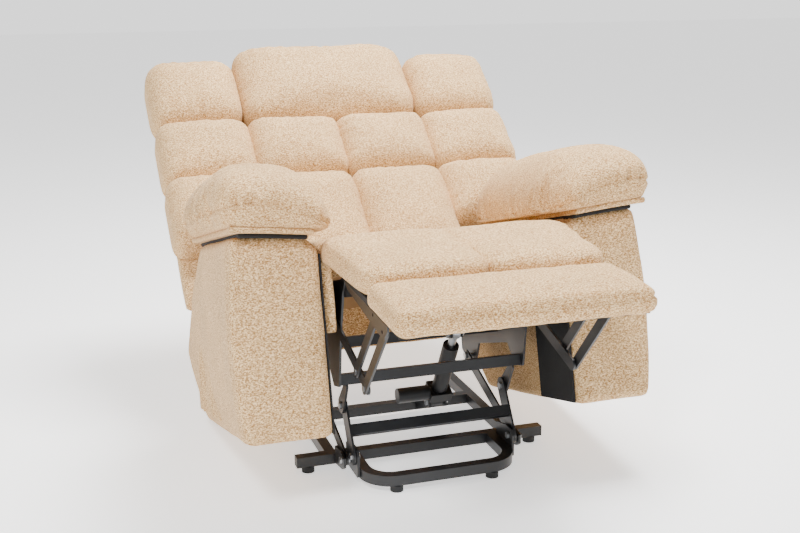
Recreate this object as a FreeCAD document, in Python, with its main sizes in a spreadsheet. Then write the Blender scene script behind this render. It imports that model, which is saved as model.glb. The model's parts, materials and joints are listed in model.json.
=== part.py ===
import FreeCAD, Part

import math
import os

from FreeCAD import Placement, Rotation, Vector

# A power lift recliner. Millimetres, +Z up, the floor at z = 0, +X to the right of someone who
# faces the chair, and the chair's front towards -Y. "left" and "right" are seen from the front.
# The rest pose is the reclined one: body tipped back on its lift base, back down, footrest out.
# The origin is on the floor, under the middle of the whole chair in this pose.

doc = FreeCAD.newDocument("power_lift_recliner")

DIMENSIONS = {
    # the part's origin seen from the floor frame's own, which lies just before the cross bar
    "origin_shift": -235.8,
    # pose and datum of the upholstered body
    "body_tilt": 15.5, "body_front": -206.0, "body_bottom": 187.0,
    # floor frame of square steel tube
    "tube_side": 25.0, "tube_wall": 2.0, "foot_height": 15.0, "foot_radius": 15.0,
    "cross_bar_length": 612.0, "cross_bar_front": 32.0, "loop_front": -129.0, "loop_bend": 62.0,
    "loop_leg_x": 174.5, "side_tube_x": 226.0, "side_tube_end": 492.0, "rear_tube_front": 290.0,
    "cap_thickness": 4.0,
    # lift linkage pivots, in the floor's frame
    "front_pivot_y": -43.0, "front_pivot_z": 63.0, "front_top_y": 26.0, "front_top_z": 162.0,
    "rear_pivot_y": -28.0, "rear_pivot_z": 50.0, "rear_top_y": 282.0, "rear_top_z": 153.0,
    "link_plate": 5.0, "ear_plate": 6.0, "front_link_radius": 21.0, "rear_link_radius": 14.0,
    "pivot_radius": 5.0, "running_gap": 0.05, "open_pivot_gap": 1.4,
    # lift actuator
    "actuator_x": 95.0, "actuator_pivot_y": 205.0, "actuator_pivot_z": 70.0,
    "actuator_tip_y": 80.0, "actuator_tip_z": 290.0, "actuator_tube_radius": 20.0,
    "rod_radius": 10.0, "actuator_slot_gap": 5.2, "actuator_pin": 6.0,
    # mechanism plates under the seat, in the body's frame
    "side_plate_x": 221.0, "upper_tube_depth": 30.0, "upper_tube_height": 25.0,
    # footrest: its hinge in the body's frame, its slope, and its linkage pivots
    "footrest_hinge_y": -20.0, "footrest_hinge_z": 385.0, "footrest_slope": 17.5,
    "footrest_reach": 430.0, "footrest_half_width": 258.0, "board_thickness": 12.0,
    "board_drop": 28.0, "link_elbow_y": -100.0, "link_elbow_z": 105.0,
    "link_head_y": -284.0, "link_head_z": 228.0, "second_link_share": 0.8,
    "footrest_link_radius": 13.0, "footrest_pin": 4.0, "footrest_pin_gap": 0.3,
    # seat
    "rail_inner_x": 248.0, "rail_thickness": 25.0, "seat_deck": 330.0, "seat_rear": 455.0,
    "spring_wire": 1.8, "spring_wave": 20.0,
    # arms
    "arm_inner_x": 282.0, "arm_width": 181.5, "arm_height": 436.0, "arm_wall": 18.0,
    "arm_flat_length": 539.0, "arm_rear_y": 783.0, "arm_rear_rise": 92.0, "arm_top_rear": 725.0,
    "arm_inner_height": 398.0, "arm_fall_run": 52.0, "strip_height": 9.0, "arm_board_thickness": 10.0,
    "arm_pad_width": 224.0, "arm_pad_length": 577.0, "arm_pad_height": 142.0, "arm_pad_inner_x": 266.0,
    "pocket_wall": 3.0, "pocket_depth": 12.0,
    # back: the foot of its face and its hinge in the body's frame, and its rows along the face
    "back_foot_y": 471.0, "back_foot_z": 350.0, "back_lean": 36.6, "back_hinge_y": 590.0,
    "back_hinge_z": 400.0, "back_half_width": 495.0, "back_waist": 262.0, "cushion_depth": 108.0,
    "back_frame_depth": 26.0, "back_shell_depth": 15.0, "row_one_top": 350.0, "row_two_top": 549.0,
    "wing_top": 757.0, "headrest_top": 815.0, "headrest_half_width": 253.0, "row_gap": 3.0,
    "hinge_pin": 6.0,
}


def fill_sheet():
    """Put every driving dimension in a spreadsheet, one alias to a row."""
    table = doc.addObject("Spreadsheet::Sheet", "sizes")
    for row, (alias, value) in enumerate(DIMENSIONS.items(), start=1):
        table.set(f"A{row}", alias)
        table.set(f"B{row}", str(value))
        table.setAlias(f"B{row}", alias)
    doc.recompute()
    return table


sheet = fill_sheet()


def dim(alias):
    return float(sheet.get(alias))


def bind(thing, prop, value):
    """Set a property from an expression on the sheet, or from a plain number."""
    if isinstance(value, str):
        thing.setExpression(prop, value)
    else:
        setattr(thing, prop, value)


# ---------------------------------------------------------------- frames of the moving groups

DATUM = Placement(Vector(0, dim("origin_shift"), 0), Rotation())
FLOOR = Placement()
BODY = Placement(Vector(0, dim("body_front"), dim("body_bottom")),
                 Rotation(Vector(1, 0, 0), -dim("body_tilt")))
FOOTREST = BODY.multiply(Placement(Vector(0, dim("footrest_hinge_y"), dim("footrest_hinge_z")),
                                   Rotation(Vector(1, 0, 0), dim("footrest_slope"))))
BACK = BODY.multiply(Placement(Vector(0, dim("back_foot_y"), dim("back_foot_z")),
                               Rotation(Vector(1, 0, 0), -dim("back_lean"))))


def in_frame(frame, y, z):
    """A point of the floor's frame, told in another group's frame."""
    local = frame.inverse().multVec(Vector(0, y, z))
    return local.y, local.z


def in_footrest(y, z):
    """A point of the body's frame, told in the footrest's frame."""
    world = BODY.multVec(Vector(0, y, z))
    return in_frame(FOOTREST, world.y, world.z)


def in_back(y, z):
    """A point of the body's frame, told in the back's frame."""
    world = BODY.multVec(Vector(0, y, z))
    return in_frame(BACK, world.y, world.z)


FRONT_PIVOT = (dim("front_pivot_y"), dim("front_pivot_z"))
FRONT_TOP = (dim("front_top_y"), dim("front_top_z"))
REAR_PIVOT = (dim("rear_pivot_y"), dim("rear_pivot_z"))
REAR_TOP = (dim("rear_top_y"), dim("rear_top_z"))
FRONT_TOP_BODY = in_frame(BODY, *FRONT_TOP)
REAR_TOP_BODY = in_frame(BODY, *REAR_TOP)
TIP_BODY = in_frame(BODY, dim("actuator_tip_y"), dim("actuator_tip_z"))
HINGE = (dim("footrest_hinge_y"), dim("footrest_hinge_z"))
ELBOW = (dim("link_elbow_y"), dim("link_elbow_z"))
HEAD = (dim("link_head_y"), dim("link_head_z"))
# the footrest's linkage is a parallelogram: hinge to head is parallel to root to elbow
ROOT = (HINGE[0] + ELBOW[0] - HEAD[0], HINGE[1] + ELBOW[1] - HEAD[1])


def along(start, end, share):
    return (start[0] + share * (end[0] - start[0]), start[1] + share * (end[1] - start[1]))


SECOND_ELBOW = along(ROOT, ELBOW, dim("second_link_share"))
SECOND_HEAD = along(HINGE, HEAD, dim("second_link_share"))
BACK_HINGE = (dim("back_hinge_y"), dim("back_hinge_z"))
PIN_HOLE = dim("pivot_radius") + dim("running_gap")

# ---------------------------------------------------------------- makers

nodes = []


def finish(thing, label, frame=FLOOR):
    """Name a finished sub-part, put it in its group's frame and list it for export."""
    thing.Label = label
    thing.Placement = DATUM.multiply(frame).multiply(thing.Placement)
    nodes.append(thing)
    return thing


def box(size, corner):
    """A Part box from three sizes (numbers or expressions) and its low corner."""
    made = doc.addObject("Part::Box", "box")
    for prop, value in zip(("Length", "Width", "Height"), size):
        bind(made, prop, value)
    made.Placement.Base = Vector(*corner)
    return made


def cylinder_x(radius, x_low, length, y, z):
    """A Part cylinder along X."""
    made = doc.addObject("Part::Cylinder", "cylinder")
    bind(made, "Radius", radius)
    bind(made, "Height", length)
    made.Placement = Placement(Vector(x_low, y, z), Rotation(Vector(0, 1, 0), 90))
    return made


def hexagon_x(radius, x_low, length, y, z):
    """A six-sided Part prism along X, for a bolt's head or nut."""
    made = doc.addObject("Part::Prism", "hexagon")
    made.Polygon = 6
    made.Circumradius = radius
    made.Height = length
    made.Placement = Placement(Vector(x_low, y, z), Rotation(Vector(0, 1, 0), 90))
    return made


def cut(base, tool):
    made = doc.addObject("Part::Cut", "cut")
    made.Base = base
    made.Tool = tool
    return made


def fuse(shapes):
    made = doc.addObject("Part::MultiFuse", "fusion")
    made.Shapes = shapes
    made.Refine = True
    return made


def group(things):
    """Separate solids that share one node."""
    made = doc.addObject("Part::Compound", "group")
    made.Links = things
    return made


def mirrored(thing):
    made = doc.addObject("Part::Mirroring", "mirror")
    made.Source = thing
    made.Normal = Vector(1, 0, 0)
    made.Base = Vector(0, 0, 0)
    return made


def pair(thing):
    """A piece and its mirror image on the other side of the chair."""
    return group([thing, mirrored(thing)])


def rounded_box(size, corner, radius):
    """A box with all twelve edges rounded, for soft pieces."""
    block = box(size, corner)
    doc.recompute()
    made = doc.addObject("Part::Fillet", "rounded")
    made.Base = block
    made.Edges = [(number, radius, radius) for number in range(1, 13)]
    return made


def outline(points, radius=0.0):
    """Lines round a closed outline, with its corners rounded by arcs where a radius is given."""
    corners = [Vector(y, z, 0) for y, z in points]
    starts, ends, arcs = [], [], []
    for number, corner in enumerate(corners):
        before = (corners[number - 1] - corner).normalize()
        after = (corners[(number + 1) % len(corners)] - corner).normalize()
        half = before.getAngle(after) / 2
        if radius <= 0 or abs(half - math.pi / 2) < 0.02:
            starts.append(corner)
            ends.append(corner)
            continue
        reach = radius / math.tan(half)
        middle = corner + (before + after).normalize() * (radius / math.sin(half) - radius)
        starts.append(corner + before * reach)
        ends.append(corner + after * reach)
        arcs.append(Part.Arc(starts[-1], middle, ends[-1]))
    lines = [Part.LineSegment(ends[number - 1], starts[number]) for number in range(len(corners))]
    return lines + arcs


def ring(point, radius):
    return [Part.Circle(Vector(point[0], point[1], 0), Vector(0, 0, 1), radius)]


def link_outline(start, end, radius):
    """A flat bar's outline: two half circles joined by straight edges."""
    a, b = Vector(start[0], start[1], 0), Vector(end[0], end[1], 0)
    ahead = (b - a).normalize() * radius
    side = Vector(-ahead.y, ahead.x, 0)
    return [Part.LineSegment(a + side, b + side), Part.Arc(b + side, b + ahead, b - side),
            Part.LineSegment(b - side, a - side), Part.Arc(a - side, a - ahead, a + side)]


def plate(geometry, thickness, x_low):
    """A PartDesign body padded along +X from an outline drawn in Y and Z."""
    body = doc.addObject("PartDesign::Body", "plate")
    sketch = body.newObject("Sketcher::SketchObject", "outline")
    plane = [item for item in body.Origin.OriginFeatures if item.Role == "YZ_Plane"][0]
    sketch.AttachmentSupport = [(plane, "")]
    sketch.MapMode = "FlatFace"
    sketch.AttachmentOffset = Placement(Vector(0, 0, x_low), Rotation())
    sketch.addGeometry(geometry, False)
    pad = body.newObject("PartDesign::Pad", "thickness")
    pad.Profile = sketch
    bind(pad, "Length", thickness)
    doc.recompute()
    return body


def round_edges(body, radius, wanted):
    """Fillet the edges of a PartDesign body that the test picks."""
    names = [f"Edge{number}" for number, edge in enumerate(body.Shape.Edges, start=1) if wanted(edge)]
    fillet = body.newObject("PartDesign::Fillet", "soft_edges")
    fillet.Base = (body.Tip if body.Tip != fillet else body.Group[-2], names)
    fillet.Radius = radius
    body.Tip = fillet
    doc.recompute()
    return body


def tube_along(axis, length, corner, depth="sizes.tube_side", height="sizes.tube_side"):
    """Square or oblong steel tube along X or Y, open at its ends."""
    wall = dim("tube_wall")
    less = " - 2 * sizes.tube_wall"
    if axis == "x":
        outside = box((length, depth, height), corner)
        bore = box((length, depth + less, height + less), (corner[0], corner[1] + wall, corner[2] + wall))
    else:
        outside = box((depth, length, height), corner)
        bore = box((depth + less, length, height + less), (corner[0] + wall, corner[1], corner[2] + wall))
    return cut(outside, bore)


def bolt(y, z, x_low, x_high, radius, head=5.0):
    """A bolt along X: shank between two faces, a hexagon at each end."""
    return fuse([cylinder_x(radius, x_low - head, x_high - x_low + 2 * head, y, z),
                 hexagon_x(radius * 1.75, x_low - head, head, y, z),
                 hexagon_x(radius * 1.75, x_high, head, y, z)])


# ---------------------------------------------------------------- floor frame

def make_floor_frame():
    side, wall, foot = dim("tube_side"), dim("tube_wall"), dim("foot_height")
    bar, front = dim("cross_bar_length") / 2, dim("cross_bar_front")
    side_x, end, rear = dim("side_tube_x"), dim("side_tube_end"), dim("rear_tube_front")
    finish(tube_along("x", "sizes.cross_bar_length", (-bar, front, foot)), "base_cross_bar")
    finish(pair(tube_along("y", "sizes.side_tube_end - sizes.cross_bar_front - sizes.tube_side",
                           (side_x - side / 2, front + side, foot))), "base_side_tubes")
    finish(tube_along("x", "2 * sizes.side_tube_x - sizes.tube_side",
                      (side / 2 - side_x, rear, foot)), "base_rear_tube")
    loop = doc.addObject("PartDesign::Body", "loop")
    planes = {item.Role: item for item in loop.Origin.OriginFeatures}
    path = loop.newObject("Sketcher::SketchObject", "path")
    path.AttachmentSupport = [(planes["XY_Plane"], "")]
    path.MapMode = "FlatFace"
    path.AttachmentOffset = Placement(Vector(0, 0, foot + side / 2), Rotation())
    leg, bend, nose = dim("loop_leg_x"), dim("loop_bend"), dim("loop_front") + side / 2
    slant = bend * math.sqrt(0.5)
    corner = Vector(-leg + bend, nose + bend, 0)
    turns = [corner + Vector(-bend, 0, 0), corner + Vector(-slant, -slant, 0), corner + Vector(0, -bend, 0)]
    mirror_turns = [Vector(-turn.x, turn.y, 0) for turn in turns]
    path.addGeometry([Part.LineSegment(Vector(-leg, front, 0), turns[0]), Part.Arc(*turns),
                      Part.LineSegment(turns[2], mirror_turns[2]), Part.Arc(*reversed(mirror_turns)),
                      Part.LineSegment(mirror_turns[0], Vector(leg, front, 0))], False)
    for kind, half in (("AdditivePipe", side / 2), ("SubtractivePipe", side / 2 - wall)):
        section = loop.newObject("Sketcher::SketchObject", "section")
        section.AttachmentSupport = [(planes["XZ_Plane"], "")]
        section.MapMode = "FlatFace"
        section.AttachmentOffset = Placement(Vector(0, 0, -front), Rotation())
        middle = foot + side / 2
        section.addGeometry(outline([(-leg - half, middle - half), (-leg + half, middle - half),
                                     (-leg + half, middle + half), (-leg - half, middle + half)]), False)
        pipe = loop.newObject(f"PartDesign::{kind}", "bent_tube")
        pipe.Profile = section
        pipe.Spine = path
        doc.recompute()
    finish(loop, "base_loop_tube")

    cap, inner = dim("cap_thickness"), side - 2 * wall
    caps = []
    for x, y, turned in ((bar, front, False), (side_x - side / 2, end, True)):
        if turned:
            flange = box((side, cap, side), (x, y, foot))
            plug = box((inner, 12, inner), (x + wall, y - 12, foot + wall))
        else:
            flange = box((cap, side, side), (x, y, foot))
            plug = box((12, inner, inner), (x - 12, y + wall, foot + wall))
        caps.append(fuse([flange, plug]))
    finish(group(caps + [mirrored(one) for one in caps]), "base_end_caps")

    feet = []
    for x, y in ((bar - 25, front + side / 2), (116.0, nose), (side_x, end - 16)):
        foot_pad = doc.addObject("Part::Cylinder", "foot")
        bind(foot_pad, "Radius", "sizes.foot_radius")
        bind(foot_pad, "Height", "sizes.foot_height")
        foot_pad.Placement.Base = Vector(x, y, 0)
        feet.append(foot_pad)
    finish(group(feet + [mirrored(one) for one in feet]), "base_feet")


INNER_EAR_X = dim("loop_leg_x") + dim("tube_side") / 2
FRONT_LINK_X = INNER_EAR_X + dim("ear_plate") + 1.5
REAR_LINK_X = FRONT_LINK_X + dim("link_plate") + 6.5
OUTER_EAR_X = REAR_LINK_X + dim("link_plate") + 2.5


def make_floor_pivots():
    front, side = dim("cross_bar_front"), dim("tube_side")
    y, z = FRONT_PIVOT
    low = dim("foot_height") + 2
    inner = outline([(y - 23, low), (front - 2, low), (front - 2, z + 6), (y + 16, z + 20), (y - 14, z + 20),
                     (y - 23, z + 6)], 5)
    finish(pair(plate(inner + ring(FRONT_PIVOT, PIN_HOLE), "sizes.ear_plate", INNER_EAR_X)), "base_inner_ears")
    y, z = REAR_PIVOT
    outer = outline([(front, low), (front, z + 12), (y + 8, z + 16), (y - 16, z + 10), (y - 18, z - 12),
                     (y - 4, z - 22)], 4)
    outer_plate = plate(outer + ring(REAR_PIVOT, PIN_HOLE), "sizes.ear_plate", OUTER_EAR_X)
    finish(pair(outer_plate), "base_outer_ears")
    pin = dim("pivot_radius")
    front_bolt = bolt(*FRONT_PIVOT, INNER_EAR_X, FRONT_LINK_X + dim("link_plate"), pin)
    rear_bolt = bolt(*REAR_PIVOT, REAR_LINK_X, OUTER_EAR_X + dim("ear_plate"), pin)
    actuator = dim("actuator_x")
    y, z = dim("actuator_pivot_y"), dim("actuator_pivot_z")
    actuator_bolt = bolt(y, z, actuator - 24, actuator + 24, dim("actuator_pin"))
    pins = [front_bolt, rear_bolt]
    finish(group(pins + [mirrored(one) for one in pins] + [actuator_bolt]), "base_pivot_bolts")

    rear = dim("rear_tube_front")
    top = dim("foot_height") + side
    cheek = outline([(rear, top - 22), (rear, top + 4), (y + 14, z + 16), (y - 14, z + 14), (y - 15, z - 13)], 4)
    hole = ring((y, z), dim("actuator_pin") + dim("running_gap"))
    cheeks = [plate(cheek + hole, "sizes.ear_plate", actuator + offset) for offset in (-24, 18)]
    web = box((36, 6, 22), (actuator - 18, rear - 6, top - 22))
    finish(fuse(cheeks + [web]), "actuator_base_bracket")


# ---------------------------------------------------------------- lift links

def make_lift_links():
    thickness, reach = "sizes.link_plate", dim("front_link_radius")
    front = link_outline(FRONT_PIVOT, FRONT_TOP, reach) + ring(FRONT_PIVOT, PIN_HOLE)
    finish(pair(plate(front + ring(FRONT_TOP, PIN_HOLE), thickness, FRONT_LINK_X)), "front_lift_links")
    y, z = along(FRONT_PIVOT, FRONT_TOP, 0.47)
    side = dim("tube_side")
    tube = tube_along("x", 2 * FRONT_LINK_X, (-FRONT_LINK_X, -side / 2, -side / 2))
    angle = math.degrees(math.atan2(FRONT_TOP[1] - FRONT_PIVOT[1], FRONT_TOP[0] - FRONT_PIVOT[0]))
    turn = Rotation(Vector(1, 0, 0), angle - 90)
    finish(tube, "link_cross_tube", Placement(Vector(0, y, z) + turn.multVec(Vector(0, -8, 0)), turn))
    rear = link_outline(REAR_PIVOT, REAR_TOP, dim("rear_link_radius")) + ring(REAR_PIVOT, PIN_HOLE)
    # the linkage's open pivot: its hole is wider than its pin by the loop's closing error
    open_hole = ring(REAR_TOP, dim("pivot_radius") + dim("open_pivot_gap"))
    finish(pair(plate(rear + open_hole, thickness, REAR_LINK_X)), "rear_lift_links")


# ---------------------------------------------------------------- lift actuator

def make_actuator():
    """Gearbox, motor, outer tube and rod, laid along the line from its base pivot to its tip."""
    base = Vector(0, dim("actuator_pivot_y"), dim("actuator_pivot_z"))
    tip = Vector(0, dim("actuator_tip_y"), dim("actuator_tip_z"))
    length = (tip - base).Length
    lean = math.degrees(math.atan2(tip.z - base.z, tip.y - base.y)) - 90
    frame = Placement(base + Vector(dim("actuator_x"), 0, 0), Rotation(Vector(1, 0, 0), lean))
    tube_radius, rod = dim("actuator_tube_radius"), dim("rod_radius")

    def upright(radius, low, height):
        made = doc.addObject("Part::Cylinder", "upright")
        bind(made, "Radius", radius)
        made.Height = height
        made.Placement.Base = Vector(0, 0, low)
        return made

    eye = cylinder_x(13, -16, 32, 0, 0)
    gearbox = fuse([eye, box((30, 24, 25), (-15, -12, 0)), box((56, 50, 27), (-28, -25, 23))])
    pin_hole = cylinder_x(dim("actuator_pin") + dim("running_gap"), -20, 40, 0, 0)
    finish(cut(gearbox, pin_hole), "actuator_gearbox", frame)
    motor = doc.addObject("Part::Cylinder", "motor")
    motor.Radius = 19
    motor.Height = 82
    motor.Placement = Placement(Vector(-28 - 82, 0, 36), Rotation(Vector(0, 1, 0), 90))
    finish(motor, "actuator_motor", frame)
    barrel = cut(upright("sizes.actuator_tube_radius", 50, length - 95),
                 upright(rod + 0.5, 58, length))
    finish(barrel, "actuator_tube", frame)
    rod_end = fuse([upright("sizes.rod_radius", 62, length - 62 - 8), cylinder_x(16, -9, 18, 0, length)])
    # lost-motion hole: the rod's eye is wider than the clevis pin
    eye_hole = cylinder_x(dim("actuator_pin") + dim("actuator_slot_gap"), -12, 24, 0, length)
    finish(cut(rod_end, eye_hole), "actuator_rod", frame)


# ---------------------------------------------------------------- chair body: steel mechanism

def make_mechanism():
    plate_x, thick = dim("side_plate_x"), dim("link_plate")
    hinge_y, hinge_z = HINGE
    profile = outline([(hinge_y - 18, hinge_z - 13), (hinge_y - 18, hinge_z + 13), (hinge_y + 12, hinge_z + 17),
                       (50, 330), (300, 320), (330, 240), (520, 240), (545, 200), (545, 110), (505, 78),
                       (455, 78), (420, 130), (230, 140), (195, 88), (150, 88), (110, 190), (55, 296), (28, 322),
                       (25, 355), (hinge_y - 8, 358)], 6)
    for point, radius in ((REAR_TOP_BODY, PIN_HOLE), (ROOT, dim("footrest_pin") + dim("running_gap")),
                          (HINGE, dim("pivot_radius") + dim("running_gap"))):
        profile += ring(point, radius)
    finish(pair(plate(profile, "sizes.link_plate", plate_x)), "side_plates", BODY)

    depth, height = dim("upper_tube_depth"), dim("upper_tube_height")
    width = "2 * sizes.side_plate_x"
    front_tube = tube_along("x", width, (-plate_x, 157, 90), "sizes.upper_tube_depth", "sizes.upper_tube_height")
    finish(front_tube, "upper_front_tube", BODY)
    rear_y, rear_z = TIP_BODY[0] + 37, TIP_BODY[1] - 11
    rear_tube = tube_along("x", width, (-plate_x, rear_y, rear_z), "sizes.upper_tube_depth",
                           "sizes.upper_tube_height")
    finish(rear_tube, "upper_rear_tube", BODY)

    y, z = FRONT_TOP_BODY
    hanger = outline([(157, 90), (157 + depth, 90), (y + 18, z + 12), (y + 18, z - 14), (y, z - 20),
                      (y - 18, z - 12)], 5)
    hanger_plate = plate(hanger + ring(FRONT_TOP_BODY, PIN_HOLE), "sizes.link_plate", FRONT_LINK_X + 6)
    finish(pair(hanger_plate), "chair_link_hangers", BODY)

    y, z = TIP_BODY
    ear = outline([(rear_y, rear_z + 1), (rear_y, rear_z + height - 1), (y + 6, z + 13), (y - 13, z + 12),
                   (y - 13, z - 12), (y + 4, z - 13)], 4)
    hole = ring(TIP_BODY, dim("actuator_pin") + dim("running_gap"))
    actuator = dim("actuator_x")
    ears = [plate(ear + hole, "sizes.link_plate", actuator + offset) for offset in (-16, 11)]
    finish(group(ears), "actuator_clevis", BODY)

    pin, small = dim("pivot_radius"), dim("footrest_pin")
    front_bolt = bolt(*FRONT_TOP_BODY, FRONT_LINK_X, FRONT_LINK_X + 6 + thick, pin, 4.5)
    rear_bolt = bolt(*REAR_TOP_BODY, REAR_LINK_X, plate_x + thick, pin)
    root_pin = fuse([cylinder_x(small, plate_x - 3, 15.5, *ROOT), cylinder_x(8, plate_x - 3, 3, *ROOT),
                     cylinder_x(8, plate_x + 12, 2, *ROOT)])
    hinge_pin = fuse([cylinder_x(pin, plate_x - 3, 28, *HINGE), cylinder_x(9, plate_x - 3, 3, *HINGE),
                      cylinder_x(9, plate_x + 24, 3, *HINGE)])
    clevis_bolt = bolt(*TIP_BODY, actuator - 16, actuator + 16, dim("actuator_pin"))
    pins = [front_bolt, rear_bolt, root_pin, hinge_pin]
    finish(group(pins + [mirrored(one) for one in pins] + [clevis_bolt]), "chair_pivot_bolts", BODY)

    blocks = [box((22, 40, 30), (plate_x + thick, 250, 280))]
    blocks += [box((9, 50, 40), (273, start, 270)) for start in (200, 330)]
    finish(group(blocks + [mirrored(one) for one in blocks]), "frame_brackets", BODY)


# ---------------------------------------------------------------- chair body: seat

def sinuous_spring(x):
    """A flat zigzag of spring wire from the front rail to the rear one, with round turns."""
    wave, turns = dim("spring_wave"), 10
    start, end = 62.0, 438.0
    pitch = (end - start) / (2 * turns + 2)
    level = dim("seat_deck") - 12
    bend = pitch / 2
    at = Vector(x, start, level)
    edges = []
    side = 1
    first = at + Vector(0, pitch / 2, 0)
    edges.append(Part.LineSegment(at, first))
    here = first
    for turn in range(2 * turns):
        reach = wave if turn else wave / 2
        out = here + Vector(side * (reach - bend), bend, 0)
        edges.append(Part.Arc(here, here + Vector(side * bend * (1 - math.sqrt(0.5)), bend * math.sqrt(0.5), 0),
                              here + Vector(side * bend, bend, 0)))
        edges.append(Part.LineSegment(here + Vector(side * bend, bend, 0), out))
        here = out + Vector(side * bend, bend, 0)
        edges.append(Part.Arc(out, out + Vector(side * bend * math.sqrt(0.5), bend * (1 - math.sqrt(0.5)), 0),
                              here))
        side = -side
        if here.y > end - 2 * pitch:
            break
    edges.append(Part.LineSegment(here, Vector(here.x, end, level)))
    wire = Part.Wire([edge.toShape() for edge in edges])
    circle = Part.Wire([Part.Circle(at, Vector(0, 1, 0), dim("spring_wire")).toShape()])
    made = doc.addObject("Part::Feature", "spring")
    made.Shape = wire.makePipeShell([circle], True, False)
    return made


def make_seat():
    rail_x, deck = dim("rail_inner_x"), dim("seat_deck")
    plate_x = dim("side_plate_x")
    rail = box(("sizes.rail_thickness", 360, 80), (rail_x, 110, deck - 80))
    finish(pair(rail), "seat_side_rails", BODY)
    finish(box((2 * plate_x, 25, 88), (-plate_x, 35, 290)), "seat_front_panel", BODY)
    finish(pair(box((26, 25, 159), (249, 35, 219))), "seat_front_flaps", BODY)
    finish(box((2 * rail_x, 20, 80), (-rail_x, 440, deck - 80)), "seat_rear_rail", BODY)
    finish(group([sinuous_spring(x) for x in (-165.0, -55.0, 55.0, 165.0)]), "seat_springs", BODY)

    rear = dim("seat_rear")
    crown = outline([(80, deck + 3), (rear, deck + 3), (rear, deck + 52), (rear - 60, deck + 66),
                     (130, deck + 84), (80, deck + 82)], 12)
    finish(plate(crown, 554, -277), "seat_cushion", BODY)
    y, z = HINGE
    nose = [Part.Arc(Vector(y, z + 30, 0), Vector(y - 30, z, 0), Vector(y, z - 30, 0)),
            Part.LineSegment(Vector(y, z - 30, 0), Vector(y + 40, z - 30, 0)),
            Part.LineSegment(Vector(y + 40, z - 30, 0), Vector(y + 40, z - 5, 0)),
            Part.LineSegment(Vector(y + 40, z - 5, 0), Vector(78, z - 5, 0)),
            Part.LineSegment(Vector(78, z - 5, 0), Vector(78, z + 30, 0)),
            Part.LineSegment(Vector(78, z + 30, 0), Vector(y, z + 30, 0))]
    finish(plate(nose, 434, -217), "seat_nose", BODY)


# ---------------------------------------------------------------- chair body: arms

def arm_profile(inset):
    """The arm box's side outline, drawn smaller all round for its hollow."""
    rear, rise = dim("arm_rear_y"), dim("arm_rear_rise")
    return outline([(inset, inset), (dim("arm_flat_length") - inset / 4, inset),
                    (rear - 1.2 * inset, rise + inset * 0.8), (dim("arm_top_rear") - inset, dim("arm_height") - inset),
                    (inset, dim("arm_height") - inset)], 12 if inset == 0 else 4)


def make_arms():
    inner, width, height = dim("arm_inner_x"), dim("arm_width"), dim("arm_height")
    outer = inner + width
    for name, flip in (("left", True), ("right", False)):
        body = plate(arm_profile(0), "sizes.arm_width", inner)

        def front_outer(edge):
            reach = edge.BoundBox
            return reach.YMax < 1 and reach.ZLength > 200 and abs(reach.XMin - outer) < 1

        round_edges(body, 34.0, front_outer)
        hollow = plate(arm_profile(dim("arm_wall")), "sizes.arm_width - sizes.arm_wall - sizes.arm_fall_run",
                       inner + dim("arm_fall_run"))
        # the top falls towards the seat over the inner part of its width
        fall = box((120, 900, 120), (-20, -20, 0))
        slope = math.degrees(math.atan2(height - dim("arm_inner_height"), dim("arm_fall_run")))
        turn = Rotation(Vector(0, 1, 0), -slope)
        fall.Placement = Placement(Vector(inner, 0, dim("arm_inner_height")), turn).multiply(fall.Placement)
        shell = cut(cut(body, hollow), fall)
        finish(mirrored(shell) if flip else shell, f"arm_box_{name}", BODY)
        pad = rounded_box(("sizes.arm_pad_width", "sizes.arm_pad_length", "sizes.arm_pad_height"),
                          (dim("arm_pad_inner_x"), -62, height + 19.5), 42)
        finish(mirrored(pad) if flip else pad, f"arm_pad_{name}", BODY)
    strip = box((width - 22, 504, "sizes.strip_height"), (inner + 10, 8, height))
    finish(pair(strip), "arm_strips", BODY)
    board = box((172, 557, "sizes.arm_board_thickness"), (300, -40, height + dim("strip_height")))
    finish(pair(board), "arm_boards", BODY)
    finish(pair(box((3, 180, 382), (inner - 3, 6, 6))), "arm_inner_panels", BODY)


def make_body_panels():
    inner = dim("arm_inner_x")
    finish(box((2 * inner, 12, 250), (-inner, 745, 130)), "rear_panel", BODY)
    outer = inner + dim("arm_width")
    wall, depth = dim("pocket_wall"), dim("pocket_depth")
    pocket = outline([(285, 28), (560, 28), (600, 70), (600, 300), (430, 262), (285, 242)], 14)
    inside = outline([(292, 36), (556, 36), (593, 74), (593, 330), (430, 330), (292, 330)], 10)
    skin = plate(pocket, "sizes.pocket_depth", -outer - depth)
    space = plate(inside, depth - wall, -outer - depth + wall)
    finish(cut(skin, space), "side_pocket", BODY)
    finish(box((2, 30, 24), (-outer - 2, 736, 290)), "side_tag", BODY)


# ---------------------------------------------------------------- back

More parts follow.
